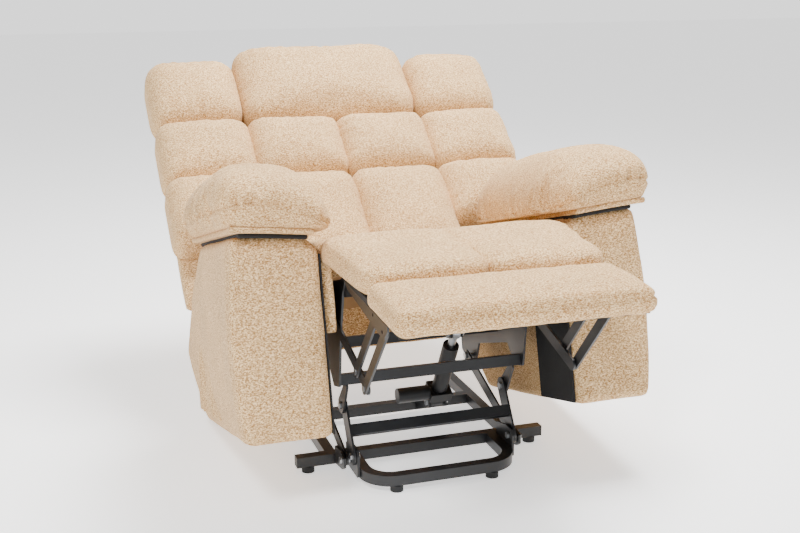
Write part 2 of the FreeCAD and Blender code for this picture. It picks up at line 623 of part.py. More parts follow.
def make_back():
    y, z = BACK_HINGE
    hinge_plate = outline([(380, 255), (468, 255), (560, 330), (y + 22, z - 16), (y + 22, z + 14), (y, z + 22),
                           (y - 22, z + 14), (480, 330), (380, 330)], 5)
    pin = dim("hinge_pin")
    hole = pin + dim("running_gap")
    plate_x = dim("rail_inner_x") + dim("rail_thickness")
    finish(pair(plate(hinge_plate + ring(BACK_HINGE, hole), "sizes.link_plate", plate_x)),
           "back_hinge_plates", BODY)
    finish(pair(cylinder_x("sizes.hinge_pin", plate_x - 10, 15.5, y, z)), "back_hinge_pins", BODY)

    # from here on: depth into the back along Y, height up its face along Z
    waist, half = dim("back_waist"), dim("back_half_width")
    depth, frame_depth = dim("cushion_depth"), dim("back_frame_depth")
    shell_depth, gap = dim("back_shell_depth"), dim("row_gap")
    hinge_depth, hinge_height = in_back(*BACK_HINGE)
    arm = outline([(hinge_depth - 20, hinge_height - 16), (hinge_depth + 20, hinge_height - 18),
                   (depth + frame_depth, 150), (depth + frame_depth, 204), (depth + 2, 204),
                   (hinge_depth, hinge_height + 22), (hinge_depth - 18, hinge_height + 12)], 5)
    finish(pair(plate(arm + ring((hinge_depth, hinge_height), hole), "sizes.link_plate", 266)),
           "back_brackets", BACK)

    def wing_floor(at_depth):
        """Lowest height of the parts that hang over the arms, at a depth into the back."""
        return 150 + 0.56 * at_depth

    def layer(label, start, thickness, top, wide):
        """A layer of the back: narrow between the arms, full width above them."""
        narrow = box((2 * waist + 8, thickness, top - 10), (-waist - 4, start, 10))
        upper = plate(outline([(start, wing_floor(start)), (start + thickness, wing_floor(start + thickness)),
                               (start + thickness, top), (start, top)]), 2 * wide, -wide)
        return finish(fuse([narrow, upper]), label, BACK)

    top = dim("wing_top")
    layer("back_frame", depth, frame_depth, top, half - 12)
    layer("back_shell", depth + frame_depth, shell_depth, top + 6, half)

    waist_block = plate(outline([(4, 10), (depth, 10), (depth, 165), (4, 165)], 4), 2 * waist, -waist)
    upper = plate(outline([(0, wing_floor(0)), (depth, wing_floor(depth)),
                           (depth, dim("row_one_top")), (0, dim("row_one_top"))], 12), 2 * half, -half)
    finish(fuse([waist_block, upper]), "lumbar_cushion", BACK)
    row_two = dim("row_one_top") + gap
    shoulder = plate(outline([(0, row_two), (depth, row_two), (depth, dim("row_two_top")),
                              (0, dim("row_two_top"))], 12), 2 * half, -half)
    finish(shoulder, "shoulder_cushion", BACK)
    row_three = dim("row_two_top") + gap
    head, wing = dim("headrest_half_width"), dim("wing_top")
    headrest = plate(outline([(-12, row_three), (depth, row_three), (depth, dim("headrest_top") - 20),
                              (70, dim("headrest_top")), (-12, dim("headrest_top") - 20)], 16), 2 * head, -head)
    finish(headrest, "headrest_cushion", BACK)
    one_wing = plate(outline([(0, row_three), (depth, row_three), (depth, wing), (0, wing)], 16),
                     half - head - gap, head + gap)
    finish(pair(one_wing), "headrest_wings", BACK)


# ---------------------------------------------------------------- footrest and its linkage

def make_footrest():
    half, reach = dim("footrest_half_width"), dim("footrest_reach")
    drop, board = dim("board_drop"), dim("board_thickness")
    bottom = -drop - board
    finish(box((2 * half - 12, reach - 50, "sizes.board_thickness"), (6 - half, 5 - reach, bottom)),
           "footrest_board", FOOTREST)
    pad = outline([(-37, -drop), (-37, 22), (-150, 14), (-240, 0), (-248, -drop)], 5)
    finish(plate(pad, "2 * sizes.footrest_half_width", -half), "footrest_pad", FOOTREST)
    roll = outline([(-251, -drop), (-251, -8), (-275, 6), (-400, 6), (-432, -8), (-444, bottom), (-432, bottom),
                    (-432, -drop)], 3)
    finish(plate(roll, "2 * sizes.footrest_half_width", -half), "footrest_roll", FOOTREST)

    head, second = in_footrest(*HEAD), in_footrest(*SECOND_HEAD)
    hanger_x = dim("side_plate_x") + 19.5
    arm = outline([(12, -10), (12, 12), (-14, 12), (-30, -20), (-43, bottom), (-330, bottom), (-330, bottom - 20),
                   (head[0] - 12, head[1] - 12), (head[0] + 16, head[1] - 12), (-60, bottom - 20), (-20, bottom)], 5)
    pin_hole = dim("footrest_pin") - 0.2
    arm += ring((0, 0), dim("pivot_radius") + dim("running_gap")) + ring(head, pin_hole) + ring(second, pin_hole)
    finish(pair(plate(arm, 4, hanger_x)), "footrest_hangers", FOOTREST)
    low = hanger_x - 8
    pins = [fuse([cylinder_x(dim("footrest_pin"), low, 8, *point), cylinder_x(7, low, 1.2, *point)])
            for point in (head, second)]
    finish(group(pins + [mirrored(one) for one in pins]), "footrest_pins", FOOTREST)


def make_footrest_links():
    plane_one = dim("side_plate_x") + dim("link_plate") + 1.5
    plane_two = plane_one + dim("link_plate") + 1.5
    radius, pin = dim("footrest_link_radius"), dim("footrest_pin")
    running, loose = pin + dim("running_gap"), pin + dim("footrest_pin_gap")
    main = link_outline(ROOT, ELBOW, radius) + ring(ROOT, running)
    finish(pair(plate(main, "sizes.link_plate", plane_one)), "footrest_main_links", BODY)
    for label, elbow, head in (("footrest_front_links", ELBOW, HEAD),
                               ("footrest_second_links", SECOND_ELBOW, SECOND_HEAD)):
        bar = link_outline(elbow, head, radius - 1) + ring(elbow, running) + ring(head, loose)
        finish(pair(plate(bar, "sizes.link_plate", plane_two)), label, BODY)
    start = plane_one + dim("link_plate")
    rivets = [fuse([cylinder_x(pin, start, plane_two + 6 - start, *point),
                    cylinder_x(7, plane_two + 5.3, 1.2, *point),
                    cylinder_x(6, start, 0.8, *point)]) for point in (ELBOW, SECOND_ELBOW)]
    finish(group(rivets + [mirrored(one) for one in rivets]), "footrest_link_rivets", BODY)


def check_and_export():
    doc.recompute()
    for thing in doc.Objects:
        bad = [state for state in thing.State if state in ("Invalid", "Error")]
        if bad:
            raise RuntimeError(f"{thing.Name} ({thing.Label}) is {bad}")
    os.makedirs("parts", exist_ok=True)
    for node in nodes:
        shape = node.Shape
        if shape.isNull() or not shape.isValid() or not shape.Solids:
            raise RuntimeError(f"{node.Label} has no valid solid")
        shape.exportStep(f"parts/{node.Label}.step")
    print(len(nodes), "nodes written")


make_floor_frame()
make_floor_pivots()
make_lift_links()
make_actuator()
make_mechanism()
make_seat()
make_arms()
make_body_panels()
make_back()
make_footrest()
make_footrest_links()
check_and_export()
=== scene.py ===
# %% [markdown]
# A power lift recliner, dressed over its imported CAD frame. The steel base, links and pins are
# already right, so they only get finishes here. Everything soft is made new: tufted back, pillow
# arms, padded footrest, upholstered boxes. Every piece but the chaise pad rides on the CAD body
# that carries it.

# %% load the frame and keep its box
import json
import math

import bpy
from mathutils import Matrix, Vector, noise


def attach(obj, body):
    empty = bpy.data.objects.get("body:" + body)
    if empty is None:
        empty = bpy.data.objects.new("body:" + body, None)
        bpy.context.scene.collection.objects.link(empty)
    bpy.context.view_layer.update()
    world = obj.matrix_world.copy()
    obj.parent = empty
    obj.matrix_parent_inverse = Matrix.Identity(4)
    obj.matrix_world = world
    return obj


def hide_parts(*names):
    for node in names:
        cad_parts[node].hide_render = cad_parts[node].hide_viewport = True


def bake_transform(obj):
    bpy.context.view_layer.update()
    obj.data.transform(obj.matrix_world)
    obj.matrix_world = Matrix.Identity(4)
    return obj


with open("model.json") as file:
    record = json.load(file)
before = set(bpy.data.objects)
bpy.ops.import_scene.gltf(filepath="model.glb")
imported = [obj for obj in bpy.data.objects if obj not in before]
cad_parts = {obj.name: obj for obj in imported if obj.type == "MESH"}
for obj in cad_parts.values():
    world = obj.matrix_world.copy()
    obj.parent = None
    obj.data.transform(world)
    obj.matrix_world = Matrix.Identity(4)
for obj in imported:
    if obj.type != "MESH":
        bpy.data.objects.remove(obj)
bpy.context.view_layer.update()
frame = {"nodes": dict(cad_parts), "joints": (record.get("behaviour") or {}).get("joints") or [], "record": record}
joints = {joint["name"]: joint for joint in frame["joints"]}

# %% [markdown]
# The chair is made of groups that lean at different angles. Working on a leaning cushion is easier
# in its own straight frame: each group gets a matrix, a piece is modelled upright in that frame,
# and the matrix then carries its mesh to its place. The hinges in the record fix the matrices.

# %% frames of the leaning groups
BODY_TILT = math.radians(15.5)
BACK_LEAN = math.radians(36.6)
FOOTREST_SLOPE = math.radians(17.5)
FOOTREST_HINGE_IN_BODY = Vector((0, -0.020, 0.385))
BACK_HINGE_IN_BACK = Vector((0, 0.0657, 0.1111))

tilt = Matrix.Rotation(-BODY_TILT, 4, "X")
footrest_hinge = Matrix.Translation(Vector(joints["footrest_fold"]["pos_m"]))
back_hinge = Matrix.Translation(Vector(joints["back_recline"]["pos_m"]))
BODY = footrest_hinge @ tilt @ Matrix.Translation(-FOOTREST_HINGE_IN_BODY)
FOOTREST = footrest_hinge @ tilt @ Matrix.Rotation(FOOTREST_SLOPE, 4, "X")
BACK = (back_hinge @ tilt @ Matrix.Rotation(-BACK_LEAN, 4, "X")
        @ Matrix.Translation(-BACK_HINGE_IN_BACK))

# %% [markdown]
# Small helpers for hand-like modelling: add a block, select by a test, run an operator, apply a
# modifier. An operator acts on whatever is selected, so everything is deselected first.

# %% modelling helpers
MM = 0.001


def only(piece):
    """Make one object the only selected and active one."""
    bpy.ops.object.select_all(action="DESELECT")
    piece.select_set(True)
    bpy.context.view_layer.objects.active = piece


def block(name, low, high):
    """A box between two corners, its place kept in its mesh."""
    low, high = Vector(low), Vector(high)
    bpy.ops.object.select_all(action="DESELECT")
    bpy.ops.mesh.primitive_cube_add(size=1, location=(low + high) / 2)
    piece = bpy.context.object
    piece.name = name
    piece.scale = high - low
    bpy.ops.object.transform_apply(location=True, rotation=False, scale=True)
    return piece


def modify(piece, kind, **settings):
    """Add a modifier with its settings and apply it."""
    only(piece)
    modifier = piece.modifiers.new(kind.title(), kind)
    for key, value in settings.items():
        setattr(modifier, key, value)
    bpy.ops.object.modifier_apply(modifier=modifier.name)
    return piece


def join(name, pieces):
    """Make several objects one mesh."""
    only(pieces[0])
    for piece in pieces:
        piece.select_set(True)
    bpy.ops.object.join()
    bpy.context.object.name = name
    return bpy.context.object


def bisect(piece, point, normal):
    """Cut away what lies beyond a plane and close the cut."""
    only(piece)
    bpy.ops.object.mode_set(mode="EDIT")
    bpy.ops.mesh.select_all(action="SELECT")
    bpy.ops.mesh.bisect(plane_co=point, plane_no=normal, use_fill=True, clear_outer=True)
    bpy.ops.object.mode_set(mode="OBJECT")
    return piece


def soft_mesh(piece, edge, voxel):
    """Round a block's edges and rebuild it in even faces, ready to be stuffed."""
    modify(piece, "BEVEL", width=edge, segments=4, limit_method="ANGLE")
    modify(piece, "REMESH", mode="VOXEL", voxel_size=voxel, use_smooth_shade=True)
    return piece


def sculpt(piece, move):
    """Move every vertex by a function of its place and normal."""
    normals = [vertex.normal.copy() for vertex in piece.data.vertices]
    for vertex, normal in zip(piece.data.vertices, normals):
        vertex.co += move(vertex.co.copy(), normal)
    piece.data.update()
    return piece


def settle(piece, matrix, body, material):
    """Carry a finished piece to its place, material and, if named, body."""
    piece.data.transform(matrix)
    piece.data.update()
    piece.data.materials.clear()
    piece.data.materials.append(material)
    only(piece)
    bpy.ops.object.shade_smooth()
    if body:
        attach(piece, body)
    return piece


def mirrored(piece, name):
    """A copy on the other side of the chair, with its faces turned outwards again."""
    twin = piece.copy()
    twin.data = piece.data.copy()
    twin.name = name
    bpy.context.collection.objects.link(twin)
    twin.data.transform(Matrix.Scale(-1, 4, (1, 0, 0)))
    twin.data.flip_normals()
    twin.data.update()
    return twin


# %% [markdown]
# Stuffing. Polyester fill pushes a cover outwards and the seams hold it back. Blender's Cloth does
# the same with pressure and a pinned group, and leaves small natural wrinkles beside each seam.
# How far a point may travel is capped, so a cushion keeps the size of its CAD solid.

# %% the stuffing helper
STUFFING_FRAMES = 14


def stuff(piece, held, pressure=4.0, cap=0.014):
    """Inflate a closed soft mesh while the points that the test picks stay put."""
    start = [vertex.co.copy() for vertex in piece.data.vertices]
    group = piece.vertex_groups.new(name="held")
    group.add([vertex.index for vertex in piece.data.vertices if held(vertex.co)], 1.0, "REPLACE")
    only(piece)
    cloth = piece.modifiers.new("Cloth", "CLOTH")
    settings = cloth.settings
    settings.vertex_group_mass = "held"
    settings.use_pressure = True
    settings.uniform_pressure_force = pressure
    settings.quality = 4
    settings.mass = 0.3
    settings.effector_weights.gravity = 0
    cloth.point_cache.frame_start = 1
    cloth.point_cache.frame_end = STUFFING_FRAMES
    for number in range(1, STUFFING_FRAMES + 1):
        bpy.context.scene.frame_set(number)
    bpy.ops.object.modifier_apply(modifier=cloth.name)
    bpy.context.scene.frame_set(1)
    for vertex, before in zip(piece.data.vertices, start):
        step = vertex.co - before
        if step.length > cap:
            vertex.co = before + step * (cap / step.length)
    piece.vertex_groups.clear()
    modify(piece, "SMOOTH", factor=0.3, iterations=1)
    print(piece.name, "stuffed,", len(piece.data.vertices), "points")
    return piece


# %% [markdown]
# Finishes. Colours are written as the sRGB hex values a paint chart gives, and one function turns
# them to the linear values that Blender works with. One more small function adds a node.

# %% colour and node helpers
def linear(hex_colour):
    """sRGB hex to a linear RGBA tuple."""
    parts = [int(hex_colour[place:place + 2], 16) / 255 for place in (1, 3, 5)]
    curve = [part / 12.92 if part <= 0.04045 else ((part + 0.055) / 1.055) ** 2.4 for part in parts]
    return (*curve, 1.0)


def add(tree, kind, inputs=None, **settings):
    """Add a shader node, set its settings, then its inputs: a socket links, a value is stored."""
    node = tree.nodes.new(kind)
    for key, value in settings.items():
        setattr(node, key, value)
    for key, value in (inputs or {}).items():
        if isinstance(value, bpy.types.NodeSocket):
            tree.links.new(value, node.inputs[key])
        else:
            node.inputs[key].default_value = value
    return node


def new_material(name):
    """An empty node tree and the Object coordinates that every pattern here is drawn on."""
    material = bpy.data.materials.new(name)
    material.use_nodes = True
    tree = material.node_tree
    tree.nodes.clear()
    place = add(tree, "ShaderNodeTexCoord").outputs["Object"]
    return material, tree, place


def close(tree, shader):
    """Wire a shader to the material's output."""
    add(tree, "ShaderNodeOutputMaterial", {"Surface": shader.outputs["BSDF"]})


# %% [markdown]
# The cover is a chenille-look polyester weave in sand beige: thick slubby yarns about 2 mm apart,
# each catching light on its own, so the cloth looks speckled close by and softly mottled from
# afar. It could be drawn as a true grid of threads, but slubs hide the grid, so two noises do it:
# one for the yarn and one drawn out along the weft. Sheen gives the pale bloom that the pile
# shows at grazing angles. The boxes wear the same cloth pulled flat, so its yarns lie a little
# further apart there and look coarser.

# %% chenille weave
YARN_PITCH = 2.0 * MM
YARN_PITCH_PULLED_FLAT = 2.4 * MM
YARN_RELIEF = 1.6 * MM
SLUB_STRETCH = (0.55, 1.0, 1.0)
DARK_AT, MIDDLE_AT, LIGHT_AT = 0.4, 0.5, 0.6


def chenille(name, dark, middle, light, pitch=YARN_PITCH, bump=0.4):
    """Slubby cloth in three tones, with a yarn every pitch metres."""
    material, tree, place = new_material(name)
    yarn = add(tree, "ShaderNodeTexNoise", {"Vector": place, "Scale": 1 / pitch,
                                            "Detail": 2.0, "Roughness": 0.65})
    stretch = add(tree, "ShaderNodeMapping", {"Vector": place, "Scale": SLUB_STRETCH})
    slub = add(tree, "ShaderNodeTexNoise", {"Vector": stretch.outputs["Vector"],
                                            "Scale": 1 / pitch / 1.1, "Detail": 1.0})
    crossed = add(tree, "ShaderNodeMath", {0: yarn.outputs["Fac"], 1: slub.outputs["Fac"]},
                  operation="ADD")
    tone = add(tree, "ShaderNodeMath", {0: crossed.outputs[0], 1: 0.5}, operation="MULTIPLY")
    ramp = add(tree, "ShaderNodeValToRGB", {"Fac": tone.outputs[0]})
    stops = ramp.color_ramp.elements
    stops[0].position, stops[0].color = DARK_AT, linear(dark)
    stops[1].position, stops[1].color = LIGHT_AT, linear(light)
    stops.new(MIDDLE_AT).color = linear(middle)
    blotch = add(tree, "ShaderNodeTexNoise", {"Vector": place, "Scale": 9.0, "Detail": 3.0})
    shade = add(tree, "ShaderNodeMapRange", {"Value": blotch.outputs["Fac"], "From Min": 0.3,
                                             "From Max": 0.7, "To Min": 0.93, "To Max": 1.05})
    tinted = add(tree, "ShaderNodeVectorMath",
                 {0: ramp.outputs["Color"], "Scale": shade.outputs["Result"]}, operation="SCALE")
    relief = add(tree, "ShaderNodeBump", {"Height": tone.outputs[0], "Strength": bump,
                                          "Distance": YARN_RELIEF})
    rough = add(tree, "ShaderNodeMapRange", {"Value": tone.outputs[0], "To Min": 0.98,
                                             "To Max": 0.82})
    shader = add(tree, "ShaderNodeBsdfPrincipled",
                 {"Base Color": tinted.outputs["Vector"], "Roughness": rough.outputs["Result"],
                  "Normal": relief.outputs["Normal"], "Specular IOR Level": 0.2,
                  "Sheen Weight": 0.1, "Sheen Roughness": 0.45, "Sheen Tint": linear("#FFF1E0")})
    close(tree, shader)
    return material


cover = chenille("chenille_weave_sand", "#93693B", "#C99F6C", "#F0D2A2")
cover_box = chenille("chenille_weave_sand_on_boxes", "#906A3C", "#C89F6E", "#F0D1A0",
                     pitch=YARN_PITCH_PULLED_FLAT, bump=0.45)
print("weave pitch", YARN_PITCH, "and", YARN_PITCH_PULLED_FLAT, "m")

# %% [markdown]
# The hard finishes differ in gloss and relief more than in colour. Each has a noise for the fine
# texture of its making and a slower one for dust and handling. Both scales are waves per metre.
#
# - Powder coat melts on the steel, so it is satin black with a faint orange peel.
# - Zinc plating on pins and bolts is a bright grey metal, dulled in patches.
# - Moulded rubber, on the feet, swallows light.
# - Nylon and ABS mouldings have a fine spark-eroded grain and a soft highlight.
# - Birch plywood, inside, is warm and half matt.
# - Lining cloth, under the seat, is nearly black and has no shine; the same black on the strips under the arm
#   boards is painted shadow.

# %% hard finishes
GLOSS_SPREAD = 0.06
DUST_SCALE = 14.0
PEEL_STRENGTH = 0.25


def coating(name, tone, worn, rough, peel_scale, peel_depth, metallic=0.0):
    """A hard surface whose tone, roughness and relief vary a little from place to place."""
    material, tree, place = new_material(name)
    peel = add(tree, "ShaderNodeTexNoise", {"Vector": place, "Scale": peel_scale, "Detail": 2.0})
    dust = add(tree, "ShaderNodeTexNoise", {"Vector": place, "Scale": DUST_SCALE, "Detail": 4.0})
    colour = add(tree, "ShaderNodeMix", {"Factor": dust.outputs["Fac"], "A": linear(tone),
                                         "B": linear(worn)}, data_type="RGBA")
    gloss = add(tree, "ShaderNodeMapRange", {"Value": dust.outputs["Fac"],
                                             "To Min": rough - GLOSS_SPREAD,
                                             "To Max": rough + GLOSS_SPREAD})
    relief = add(tree, "ShaderNodeBump", {"Height": peel.outputs["Fac"],
                                          "Strength": PEEL_STRENGTH, "Distance": peel_depth})
    shader = add(tree, "ShaderNodeBsdfPrincipled",
                 {"Base Color": colour.outputs["Result"], "Roughness": gloss.outputs["Result"],
                  "Normal": relief.outputs["Normal"], "Metallic": metallic})
    close(tree, shader)
    return material


FINISHES = {
    "steel": coating("powder_coated_steel_black", "#1E2023", "#131416", 0.36, 900.0, 0.2 * MM),
    "zinc": coating("zinc_plated_steel", "#C9CCCF", "#A8ABAE", 0.32, 1200.0, 0.1 * MM,
                    metallic=1.0),
    "rubber": coating("moulded_rubber_black", "#17181A", "#101112", 0.72, 1500.0, 0.3 * MM),
    "plastic": coating("moulded_nylon_black", "#1B1C1E", "#121314", 0.48, 1600.0, 0.2 * MM),
    "motor_plastic": coating("moulded_abs_charcoal", "#26282B", "#1B1D1F", 0.42, 1600.0, 0.2 * MM),
    "wood": coating("birch_plywood", "#B98F5E", "#9A7447", 0.62, 220.0, 0.4 * MM),
    # black_cloth is real lining under the seat, and painted shadow on the strips under the arm boards
    "black_cloth": coating("lining_cloth_and_painted_shadow_black", "#1A1A1B", "#0F0F10", 0.9, 2200.0, 0.8 * MM),
    "fabric": cover,
}
slot_of = {part["node"]: part["material_slot"] for part in frame["record"]["subparts"]}
for node, made in frame["nodes"].items():
    for place in made.material_slots:
        place.material = FINISHES[slot_of[node]]
print(len(FINISHES), "finishes on", len(slot_of), "CAD nodes")

# %% [markdown]
# The studio: a pale floor that glows a little, a soft key from the front left, a fill, a top light
# and a sky that is brightest at the horizon, so the floor seems to run on without an edge. The
# camera stands a little left of the chair and looks slightly down.

# %% studio floor and sky
FLOOR_GLOW = 0.95
bpy.ops.object.select_all(action="DESELECT")
bpy.ops.mesh.primitive_plane_add(size=30, location=(0, 0, 0))
floor = bpy.context.object
floor.name = "studio_floor"
floor_material, tree, place = new_material("studio_paper")
grain = add(tree, "ShaderNodeTexNoise", {"Vector": place, "Scale": 60.0})
paper = add(tree, "ShaderNodeMapRange", {"Value": grain.outputs["Fac"], "To Min": 0.88,
                                         "To Max": 0.9})
close(tree, add(tree, "ShaderNodeBsdfPrincipled",
                {"Base Color": (0.9, 0.9, 0.9, 1), "Roughness": paper.outputs["Result"],
                 "Emission Color": (1, 1, 1, 1), "Emission Strength": FLOOR_GLOW}))
floor.data.materials.append(floor_material)

world = bpy.data.worlds.new("studio_light")
world.use_nodes = True
sky = world.node_tree
direction = add(sky, "ShaderNodeTexCoord").outputs["Generated"]
height = add(sky, "ShaderNodeSeparateXYZ", {"Vector": direction}).outputs["Z"]
glow = add(sky, "ShaderNodeMapRange", {"Value": height, "From Min": 0.02, "From Max": 0.3,
                                       "To Min": 1.6, "To Max": 0.55})
sky.nodes["Background"].inputs["Color"].default_value = (1.0, 1.0, 1.0, 1.0)
sky.links.new(glow.outputs["Result"], sky.nodes["Background"].inputs["Strength"])
bpy.context.scene.world = world

# %% lights and camera
LAMPS = {"key": ((-1.9, -2.6, 3.6), 0.9, 175), "fill": ((3.0, -2.0, 2.0), 2.4, 8),
         "top": ((0.7, 0.5, 3.2), 1.4, 250)}
LAMP_TARGET = Vector((0, 0, 0.4))
CAMERA_PLACE = (-0.8816, -2.6769, 1.1826)
CAMERA_PITCH, CAMERA_TURN = math.radians(74.9), math.radians(-18.4)
LENS, SENSOR = 53.27, 36

for name, (at, size, power) in LAMPS.items():
    bpy.ops.object.light_add(type="AREA", location=at)
    lamp = bpy.context.object
    lamp.name = name
    lamp.data.size = size
    lamp.data.energy = power
    lamp.rotation_euler = (LAMP_TARGET - Vector(at)).to_track_quat("-Z", "Y").to_euler()

bpy.ops.object.camera_add(location=CAMERA_PLACE)
camera = bpy.context.object
camera.rotation_euler = (CAMERA_PITCH, 0, CAMERA_TURN)
camera.data.lens = LENS
camera.data.sensor_width = SENSOR
bpy.context.scene.camera = camera

# %% [markdown]
# The back is eleven stuffed pockets in three rows. Each pocket is a block with rounded edges,
# rebuilt in small even faces, swollen in the middle and puckered where its seams gather the
# cloth. Neighbours press against each other, which makes the dark creases of a tufted back. The
# puckers come after the cloth step, because its smoothing would wipe them out.

# %% the pillow rule
POCKET_VOXEL = 6 * MM
POCKET_EDGE = 8 * MM
POCKET_WAIST = 64 * MM
LUMP_SCALE, LUMP_HEIGHT = 9, 5 * MM
PUCKER_REACH = 30 * MM
PUCKER_PITCH = 17 * MM
PUCKER_RUN = 90 * MM


def inside(value, low, high):
    """-1 at one end of a range, 0 in its middle, 1 at the other end."""
    return max(-1.0, min(1.0, (2 * value - low - high) / (high - low)))


def pillow(across, along, rise, plan, section):
    """Round a point of a unit box into a pillow. plan and section say how square its outline and
    its cut are: 2 is an ellipse, 10 is nearly a box. Points with no rise keep the outline."""
    outline = (abs(across) ** plan + abs(along) ** plan) ** (1 / plan)
    whole = (outline ** section + max(0.0, rise) ** section) ** (1 / section)
    flat = 1.0 if rise > 0 else max(abs(across), abs(along))
    return flat / whole if whole else 1.0


# %% the pocket helper
def pocket(name, low, high, swell, pucker=7 * MM, plan=7, section=2.7, voxel=POCKET_VOXEL,
           waist=POCKET_WAIST, held=None):
    """A pocket whose face looks along -Y, rounded in front of its waist, stuffed when a held test is given, then
    puckered.
    """
    piece = block(name, low, high)
    soft_mesh(piece, POCKET_EDGE, voxel)
    seed = low[0] * 7 + low[2] * 3
    middle = (Vector(low) + Vector(high)) / 2
    front = waist - low[1] + swell

    def round_off(place, normal):
        across, along = inside(place.x, low[0], high[0]), inside(place.z, low[2], high[2])
        rise = (waist - place.y) / (waist - low[1])
        share = pillow(across, along, rise, plan, section)
        deep = place.y if rise <= 0 else waist - rise * share * front
        return Vector((middle.x + (place.x - middle.x) * share, deep,
                       middle.z + (place.z - middle.z) * share)) - place

    def ruffle(place, normal):
        side = min(place.x - low[0], high[0] - place.x)
        end = min(place.z - low[2], high[2] - place.z)
        folds = (math.exp(-side / PUCKER_REACH)
                 * noise.noise((seed, place.z / PUCKER_PITCH, place.x / PUCKER_RUN))
                 + math.exp(-end / PUCKER_REACH)
                 * noise.noise((place.x / PUCKER_PITCH, seed, place.z / PUCKER_RUN)))
        lump = LUMP_HEIGHT * noise.noise((place.x * LUMP_SCALE + seed, place.y * LUMP_SCALE,
                                          place.z * LUMP_SCALE))
        return normal * (folds * pucker + lump) * max(0.0, -normal.y)

    sculpt(piece, round_off)
    if held:
        stuff(piece, held)
    return sculpt(piece, ruffle)


# %% [markdown]
# The two lower rows have four pockets each. The outer pockets of the lowest row stop above the
# arms, which leaves the waist that lets the back tip between them. Each pocket is held at the
# back, where the cover is tacked to the frame.

# %% lower and middle rows
CUSHION_BACK = 108 * MM
TACKED = 62 * MM
COLUMNS = (-500, -253, 0, 253, 500)
LAP = 7 * MM


def tacked(place):
    """The part of a pocket that is fixed to the frame of the back."""
    return place.y > TACKED


def row(name, bottoms, top, swell, node):
    """Four pockets side by side that lap a little, as one piece."""
    pockets = []
    for number, bottom in enumerate(bottoms):
        left, right = COLUMNS[number] * MM - LAP, COLUMNS[number + 1] * MM + LAP
        pockets.append(pocket(f"{name}_{number}", (left, 6 * MM, bottom * MM - LAP),
                              (right, CUSHION_BACK, top * MM + LAP), swell, held=tacked))
    piece = join(name, pockets)
    settle(piece, BACK, "back", cover)
    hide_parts(node)


row("back_lower_row", (150, 8, 8, 150), 354, 30 * MM, "lumbar_cushion")
row("back_middle_row", (352, 352, 352, 352), 552, 28 * MM, "shoulder_cushion")

# %% [markdown]
# The headrest is one wide pocket with more swell than the rest, so it stands taller and prouder
# than the wings beside it. The wings have a rounded outer corner.

# %% headrest and wings
headrest = pocket("back_headrest", (-255 * MM, 0, 550 * MM), (255 * MM, CUSHION_BACK, 838 * MM),
                  38 * MM, pucker=9 * MM, section=2.8, held=tacked)
settle(headrest, BACK, "back", cover)
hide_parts("headrest_cushion")

wings = [pocket(name, (left * MM, 4 * MM, 550 * MM), (right * MM, CUSHION_BACK, 794 * MM), 28 * MM,
                plan=5, section=2.6, held=tacked)
         for name, left, right in (("wing_left", -508, -252), ("wing_right", 252, 508))]
wings = join("back_wings", wings)
settle(wings, BACK, "back", cover)
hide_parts("headrest_wings")

# %% [markdown]
# The rear of the back is a flat cover drawn over the frame and closed by a welted edge.

# %% back cover
back_cover = block("back_cover", (-492 * MM, 106 * MM, 12 * MM), (492 * MM, 149 * MM, 758 * MM))
soft_mesh(back_cover, 12 * MM, 7 * MM)
sculpt(back_cover, lambda place, normal: normal * (noise.noise(place * 6) * 2.5 * MM))
settle(back_cover, BACK, "back", cover_box)
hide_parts("back_shell")

# %% [markdown]
# The arms are plywood boxes under thin foam. A block is cut along the slanted rear, the rising
# bottom and the fall of the top to the inside, then its edges go round. A groove a few
# centimetres behind the front is the seam between the front panel and the side.

# %% arm boxes
ARM_LOW, ARM_HIGH = Vector((282, 0, 0)) * MM, Vector((462, 783, 436)) * MM
ARM_SEAM = 24 * MM
ARM_BARREL = 22 * MM


def arm_box(name):
    """The right arm's box, in the body's frame."""
    piece = block(name, ARM_LOW, ARM_HIGH)
    bisect(piece, (0, 539 * MM, 0), (0, 92, -244))
    bisect(piece, (0, 783 * MM, 92 * MM), (0, 344, 58))
    bisect(piece, (282 * MM, 0, 398 * MM), (-38, 0, 52))
    soft_mesh(piece, 16 * MM, 7 * MM)

    def barrel(place, normal):
        share = (place.x - 0.282) / 0.18
        bow = 1 - abs(inside(place.z, -0.04, 0.462)) ** 2.2
        return Vector((ARM_BARREL * share * share * bow, 0, 0))

    def foam(place, normal):
        across, upwards = inside(place.x, 0.282, 0.462), inside(place.z, 0, 0.436)
        front = max(0.0, -normal.y) * (1 - abs(across) ** 3) * (1 - abs(upwards) ** 4) * 9 * MM
        sides = 1 - abs(normal.y)
        groove = 8 * MM * math.exp(-((place.y - ARM_SEAM) / (5 * MM)) ** 2) * sides
        topstitch = 2.5 * MM * math.exp(-((place.y - ARM_SEAM - 14 * MM) / (3.5 * MM)) ** 2) * sides
        return normal * (front - groove - topstitch + noise.noise(place * 11) * 1.6 * MM)

    sculpt(piece, barrel)
    return sculpt(piece, foam)


right_box = arm_box("arm_cover_right")
left_box = mirrored(right_box, "arm_cover_left")
for piece, node in ((right_box, "arm_box_right"), (left_box, "arm_box_left")):
    settle(piece, BODY, "chair", cover_box)
    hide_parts(node)

# %% [markdown]
# The arm pads are pillow tops: a loaf of fibre, gathered into a boxed band by a seam that runs
# all round. The gathers are small upright folds that start at the seam and die out above it, and
# three deeper tucks divide the pad's side into lobes. Only the right pad is made; the left one is
# its mirror image.

# %% arm pads
PAD_LOW, PAD_HIGH = Vector((0.254, -0.070, 0.455)), Vector((0.504, 0.516, 0.603))
GATHER_PITCH, GATHER_REACH, GATHER_DEPTH = 24 * MM, 48 * MM, 22 * MM
TUCKS = (18 * MM, 215 * MM, 400 * MM)


